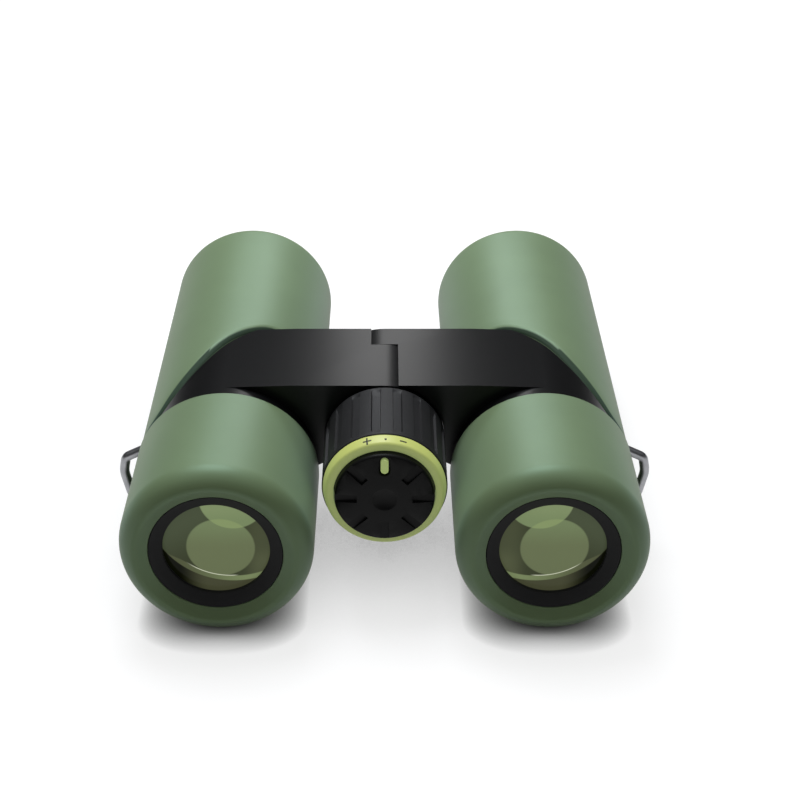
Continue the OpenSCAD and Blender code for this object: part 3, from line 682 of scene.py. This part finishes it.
# Fine matte black moulding
black_moulding = grained("matte_black_moulding", "#2A2A2B", "#2D2D2E", 3, 0.4, 0.006,
                         Roughness=0.6, Specular_IOR_Level=0.15)
CONE_WIDER = 0.22                # than the CAD's ring, so that less of a gap shows in the cup
CONE_W, CONE_D = 2.7, 1.35       # width and depth of the sloping face
CONE_LAND = 0.9                  # straight inner edge behind the slope
SLEEVE_FROM, SLEEVE_TO = 0.5, 0.85  # the thin sleeve behind the front, in from the outside
FRONT_L = 3.2                    # length of the front at its full width
EYE_CROWN = 1.1
left_barrel = (-axis_x, axis_z)
_, place_r, ring_y0, ring_y1 = span("left_eyepiece_ring")
ring_r = place_r + CONE_WIDER
open_r = ring_r - CONE_W
slope_y = ring_y0 + CONE_D
left_ring = turned("left_cone_ring", left_barrel, rounded([
    (ring_r, ring_y0, 0.15), (open_r, slope_y, 0.3), (open_r, slope_y + CONE_LAND, 0.1),
    (ring_r - SLEEVE_TO, slope_y + CONE_LAND, 0), (ring_r - SLEEVE_TO, ring_y1, 0),
    (ring_r - SLEEVE_FROM, ring_y1, 0), (ring_r - SLEEVE_FROM, ring_y0 + FRONT_L, 0),
    (ring_r, ring_y0 + FRONT_L, 0),
], 5))
_, lens_r, lens_y0, lens_y1 = span("left_eye_lens")
left_glass = turned("left_front_glass", left_barrel,
                    bulge(lens_r, lens_y0, EYE_CROWN) + [(lens_r, lens_y1), (0.0, lens_y1)])
for (side, out, ring), (_, _, glass) in zip(on_both(left_ring, "cone_ring"),
                                            on_both(left_glass, "front_glass")):
    finish_piece(ring, black_moulding, f"{side}_barrel", [f"{side}_eyepiece_ring"])
    finish_piece(glass, lens_with_painted_reflections(side, out), f"{side}_barrel", [f"{side}_eye_lens"])


# ---- Eyecups ----
# Thick rubber sleeves of the same green, flush with the armour. The lip is well rounded outside
# and slopes in to the black eyepiece ring.
CUP_ROUND = 5.0
ROUND_FROM_DEG, ROUND_STEP_DEG = 27, 6.3  # where the lip's rounding starts, and its steps
CUP_SLOPE = 1.8
CREST = (3.49, 0.16, 1.45)       # in from the outside, back from the lip, and its rounding
CUP_LIP_T = 2.7
CUP_WALL = 2.5
MOUTH_GAP = 0.3
_, r, y0, y1 = span("left_eyecup")
mouth_r = place_r + MOUTH_GAP
bore_r = r - CUP_WALL
turns = [math.radians(ROUND_FROM_DEG + ROUND_STEP_DEG * k) for k in range(11)]
lip = [(r - CUP_ROUND * (1 - math.sin(t)), y0 + CUP_ROUND * (1 - math.cos(t)), 0) for t in turns]
left_cup = turned("left_rubber_eyecup", left_barrel, rounded([
    (mouth_r, y0 + CUP_SLOPE, 0.2), (r - CREST[0], y0 + CREST[1], CREST[2]), *lip,
    (r, y1, 0.35), (bore_r, y1, 0.3), (bore_r, y0 + CUP_SLOPE + CUP_LIP_T, 0),
    (mouth_r, y0 + CUP_SLOPE + CUP_LIP_T, 0.2),
], 10))
for side, _, cup in on_both(left_cup, "rubber_eyecup"):
    finish_piece(cup, green_rubber, f"{side}_cup", [f"{side}_eyecup"])
    rubber_pieces.objects.link(cup)


# ---- Objective lenses ----
# A cemented lens that bulges on both faces sits deep behind the armour's end, held by its ring
# and cell.

# Anti-reflection coating, a very dark green from the front
green_coating = grained("coated_objective_glass", "#131C18", "#18241F", 8, 4, 0.0005,
                        Roughness=0.04, Specular_IOR_Level=0.5)
NEAR_CROWN, FAR_CROWN = 1.3, 1.6
_, r, y0, y1 = span("left_objective_lens")
left_glass = turned("left_objective_glass", left_barrel,
                    bulge(r, y0, NEAR_CROWN) + bulge(r, y1, FAR_CROWN, -1)[::-1])
for side, _, glass in on_both(left_glass, "objective_glass"):
    finish_piece(glass, green_coating, f"{side}_barrel", [f"{side}_objective_lens"])


# ---- Focus wheel ----
# A moulded rubber grip stretched over the wheel's hub. Eighteen low ribs run along it, with a
# plain band in front of the grooves.

# Black rubber, duller than the paint
grip_rubber = grained("ribbed_black_rubber", "#212122", "#252526", 2.5, 0.35, 0.01,
                      Roughness=0.55, Specular_IOR_Level=0.35)
RIBS = 18
PITCH_DEG = 360 / RIBS
GROOVE_D = 0.55
RIB_DEG = (5.5, 6.1)             # half a rib at its top and at its foot
BAND_L = 1.6
BAND_FALL_L = 0.5                # over which the band falls to the grooves
FAR_RUN_L = 3.0                  # over which the grooves run out at the far end
FAR_LAND_L = 0.6
GRIP_ROUND = 0.3
HUB_GAP = 0.05
TURNED_DEG = 2.0                 # how far the wheel stands off its mark
# Degrees from the middle of a rib at which the columns stand
half_rib = (0, 1.9, 3.8, 5.1, 5.5, 5.8, 6.1, PITCH_DEG / 2)
rib_steps = half_rib + tuple(PITCH_DEG - step for step in half_rib[6:0:-1])
grip_angles = [math.radians(PITCH_DEG * i + step + TURNED_DEG)
               for i in range(RIBS) for step in rib_steps]


def rib_height(angle):
    """1 on a rib and 0 in a groove, with a rib at the top of the wheel."""
    away = abs((math.degrees(angle) - TURNED_DEG + PITCH_DEG / 2) % PITCH_DEG - PITCH_DEG / 2)
    return min(max((RIB_DEG[1] - away) / (RIB_DEG[1] - RIB_DEG[0]), 0), 1)


_, hub_r, _, _ = span("focus_hub")
grip_inner_r = hub_r + HUB_GAP


def grip_outline(angle):
    """The section at an angle: rounded front, band, groove or rib, and rounded far end."""
    groove_r = wheel_r - GROOVE_D * (1 - rib_height(angle))
    corner = [(wheel_r - GRIP_ROUND * (1 - math.sin(t)), grip_y0 + GRIP_ROUND * (1 - math.cos(t)))
              for t in (math.radians(18 * k) for k in range(6))]
    fall_y = grip_y0 + BAND_L - BAND_FALL_L / 2
    rise_y = grip_y1 - FAR_RUN_L
    fall = [(wheel_r + (groove_r - wheel_r) * t * t * (3 - 2 * t), fall_y + BAND_FALL_L * t)
            for t in (k / 4 for k in range(5))]
    rise = [(groove_r + (wheel_r - groove_r) * t, rise_y + (FAR_RUN_L - FAR_LAND_L) * t)
            for t in (k / 4 for k in range(5))]
    return [(grip_inner_r, grip_y0)] + corner + fall + rise + [
        (wheel_r, grip_y1 - GRIP_ROUND), (wheel_r - 0.09, grip_y1 - 0.09),
        (wheel_r - GRIP_ROUND, grip_y1), (grip_inner_r, grip_y1)]


grip = shaped_ring("ribbed_grip", (0, hinge_z), grip_outline, grip_angles)
finish_piece(grip, grip_rubber, "focus_wheel", ["focus_grip"])


# ---- Scale ring ----
# A lime plastic moulding pressed on the front of the wheel, where it tapers. A plus, a dot and a
# minus are printed round its top.

# Lime plastic. Its emission stands in for light from the front that these lamps don't give.
lime_plastic = grained("lime_moulding", "#C4C660", "#C8CA64", 4, 0.5, 0.006,
                       Roughness=0.42, Specular_IOR_Level=0.5,
                       Emission_Color=linear("#C4DC98"), Emission_Strength=0.23)
# Thin dark pad printing
printed_ink = grained("dark_print", "#2C3020", "#303424", 1, 0.2, 0.002, Roughness=0.6)
_, scale_r, scale_y0, scale_y1 = span("scale_ring")
SCALE_TAPER = 0.6
SCALE_WALL = 1.7
front_r = scale_r - SCALE_TAPER
scale = turned("lime_scale_ring", (0, hinge_z), rounded([
    (front_r - SCALE_WALL, scale_y0, 0.15), (front_r, scale_y0, 0.8), (scale_r, scale_y1, 0.15),
    (front_r - SCALE_WALL, scale_y1, 0),
], 8), 192)
finish_piece(scale, lime_plastic, "focus_wheel", ["scale_ring"])

# The printed bars: degrees round from the top, half the width round and half the length along
PLUS_DEG, DOT_DEG, MINUS_DEG = -16.5, 1.0, 17.6
MARKS = ((PLUS_DEG, 0.9, 0.16), (PLUS_DEG, 0.16, 0.9), (DOT_DEG, 0.22, 0.22),
         (MINUS_DEG, 0.72, 0.16))
INK_OUT, INK_IN = 0.03, 0.1      # how far a bar stands over the ring and reaches into it
mark_y = scale_y0 + 1.25
marks = []
for degrees, half_w, half_l in MARKS:
    bpy.ops.object.select_all(action="DESELECT")
    bpy.ops.mesh.primitive_cube_add(size=2)
    mark = bpy.context.object
    bpy.ops.object.mode_set(mode="EDIT")
    bpy.ops.mesh.select_all(action="SELECT")
    bpy.ops.mesh.subdivide(number_cuts=5)
    bpy.ops.object.mode_set(mode="OBJECT")
    for vertex in mark.data.vertices:
        along, up = vertex.co.y * half_l, vertex.co.z
        y = mark_y + along
        cone_r = front_r + SCALE_TAPER * (y - scale_y0) / (scale_y1 - scale_y0)
        angle = math.radians(degrees) + vertex.co.x * half_w / cone_r
        r = cone_r + (INK_OUT if up > 0 else -INK_IN)
        vertex.co = Vector((r * math.sin(angle), y, hinge_z + r * math.cos(angle))) * MM
    tidy(mark)
    marks.append(mark)
for mark in marks:
    mark.select_set(True)
bpy.context.view_layer.objects.active = marks[0]
bpy.ops.object.join()
marks[0].name = "scale_marks"
marks[0].data.materials.append(printed_ink)
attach(marks[0], "focus_wheel")


# ---- Trim knob ----
# A black turned disc with a bulged face, a finger dimple, seven radial grooves and a lime
# pointer let into a slot at the top.
def pick(piece):
    """Makes a piece the one that is selected and active."""
    bpy.ops.object.select_all(action="DESELECT")
    piece.select_set(True)
    bpy.context.view_layer.objects.active = piece


def softened_copy(name, node, width, angle_deg=30):
    """A copy of a CAD node with its seams merged and its edges lightly rounded."""
    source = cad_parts[node]
    piece = bpy.data.objects.new(name, source.data.copy())
    bpy.context.scene.collection.objects.link(piece)
    pick(piece)
    tidy(piece)
    bpy.ops.object.mode_set(mode="EDIT")
    bpy.ops.mesh.select_all(action="SELECT")
    bpy.ops.mesh.dissolve_limited(angle_limit=math.radians(1))
    bpy.ops.object.mode_set(mode="OBJECT")
    soften(piece, width, 2, angle_deg)
    bpy.ops.object.shade_smooth_by_angle(angle=math.radians(SMOOTH_DEG))
    return piece


# Matte black finish on turned metal
knob_black = grained("matte_black_turning", "#101010", "#121212", 2, 0.3, 0.004,
                     Roughness=0.45, Specular_IOR_Level=0.12)
knob = softened_copy("trim_knob_disc", "diopter_knob", 0.12)
finish_piece(knob, knob_black, "trim_knob", ["diopter_knob"])
# The lime of the scale ring, a little paler, with emission for the same reason
pointer_lime = grained("lime_pointer_moulding", "#D0E18C", "#D5E690", 2, 0.4, 0.004,
                       Roughness=0.4, Specular_IOR_Level=0.4,
                       Emission_Color=linear("#C4DC8C"), Emission_Strength=0.28)
POINTER_GAP = 0.1
pointer = softened_copy("lime_pointer", "diopter_pointer", 0.2, 50)
bpy.ops.object.mode_set(mode="EDIT")
bpy.ops.mesh.select_all(action="SELECT")
bpy.ops.transform.shrink_fatten(value=-POINTER_GAP * MM)
bpy.ops.object.mode_set(mode="OBJECT")
finish_piece(pointer, pointer_lime, "trim_knob", ["diopter_pointer"])


# ---- Pieces that keep their CAD shapes ----
# The inner works, the objective ends and the hinge's own pieces take the finish that each is
# made in.

# Matte blacks of the mouldings, then bare metals and clear glass
inner_black = grained("inner_black_moulding", "#161617", "#19191A", 3, 0.4, 0.006,
                      Roughness=0.65, Specular_IOR_Level=0.3)
hinge_black = grained("hinge_cap_moulding", "#1A1A1B", "#1D1D1E", 2, 0.4, 0.006,
                      Roughness=0.5, Specular_IOR_Level=0.3)
seal_rubber = grained("smooth_seal_rubber", "#101010", "#141414", 1.5, 0.3, 0.004, Roughness=0.5)
turned_steel = grained("turned_steel", "#9A9BA0", "#ABACB1", 1.5, 0.25, 0.006,
                       Roughness=0.3, Metallic=1.0)
turned_brass = grained("turned_brass", "#B08F4A", "#BD9C55", 1.5, 0.25, 0.006,
                       Roughness=0.32, Metallic=1.0)
polished_glass = grained("polished_glass", "#D8E0D4", "#DFE6DB", 6, 4, 0.0005,
                         Roughness=0.03, Transmission_Weight=1.0, IOR=1.52)
FINISHES = {
    "eyepiece_tube": inner_black, "field_stop": inner_black, "click_ring": inner_black,
    "prism_cage": inner_black, "focus_cell": inner_black, "objective_cell": inner_black,
    "objective_retainer": black_moulding, "objective_seal": seal_rubber,
    "hinge_cap": hinge_black, "focus_hub": inner_black, "guide_rod": turned_steel,
    "hinge_tube": turned_steel, "focus_spindle": turned_steel, "focus_carrier": turned_brass,
    "focus_spool": turned_brass, "eyepiece_doublet": polished_glass,
    "half_penta_prism": polished_glass, "roof_prism": polished_glass,
    "focus_lens": polished_glass,
}
for name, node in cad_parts.items():
    kind = name.removeprefix("left_").removeprefix("right_")
    if kind in FINISHES:
        node.data.materials.clear()
        node.data.materials.append(FINISHES[kind])
        pick(node)
        bpy.ops.object.shade_smooth_by_angle(angle=math.radians(SMOOTH_DEG))

low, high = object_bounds()
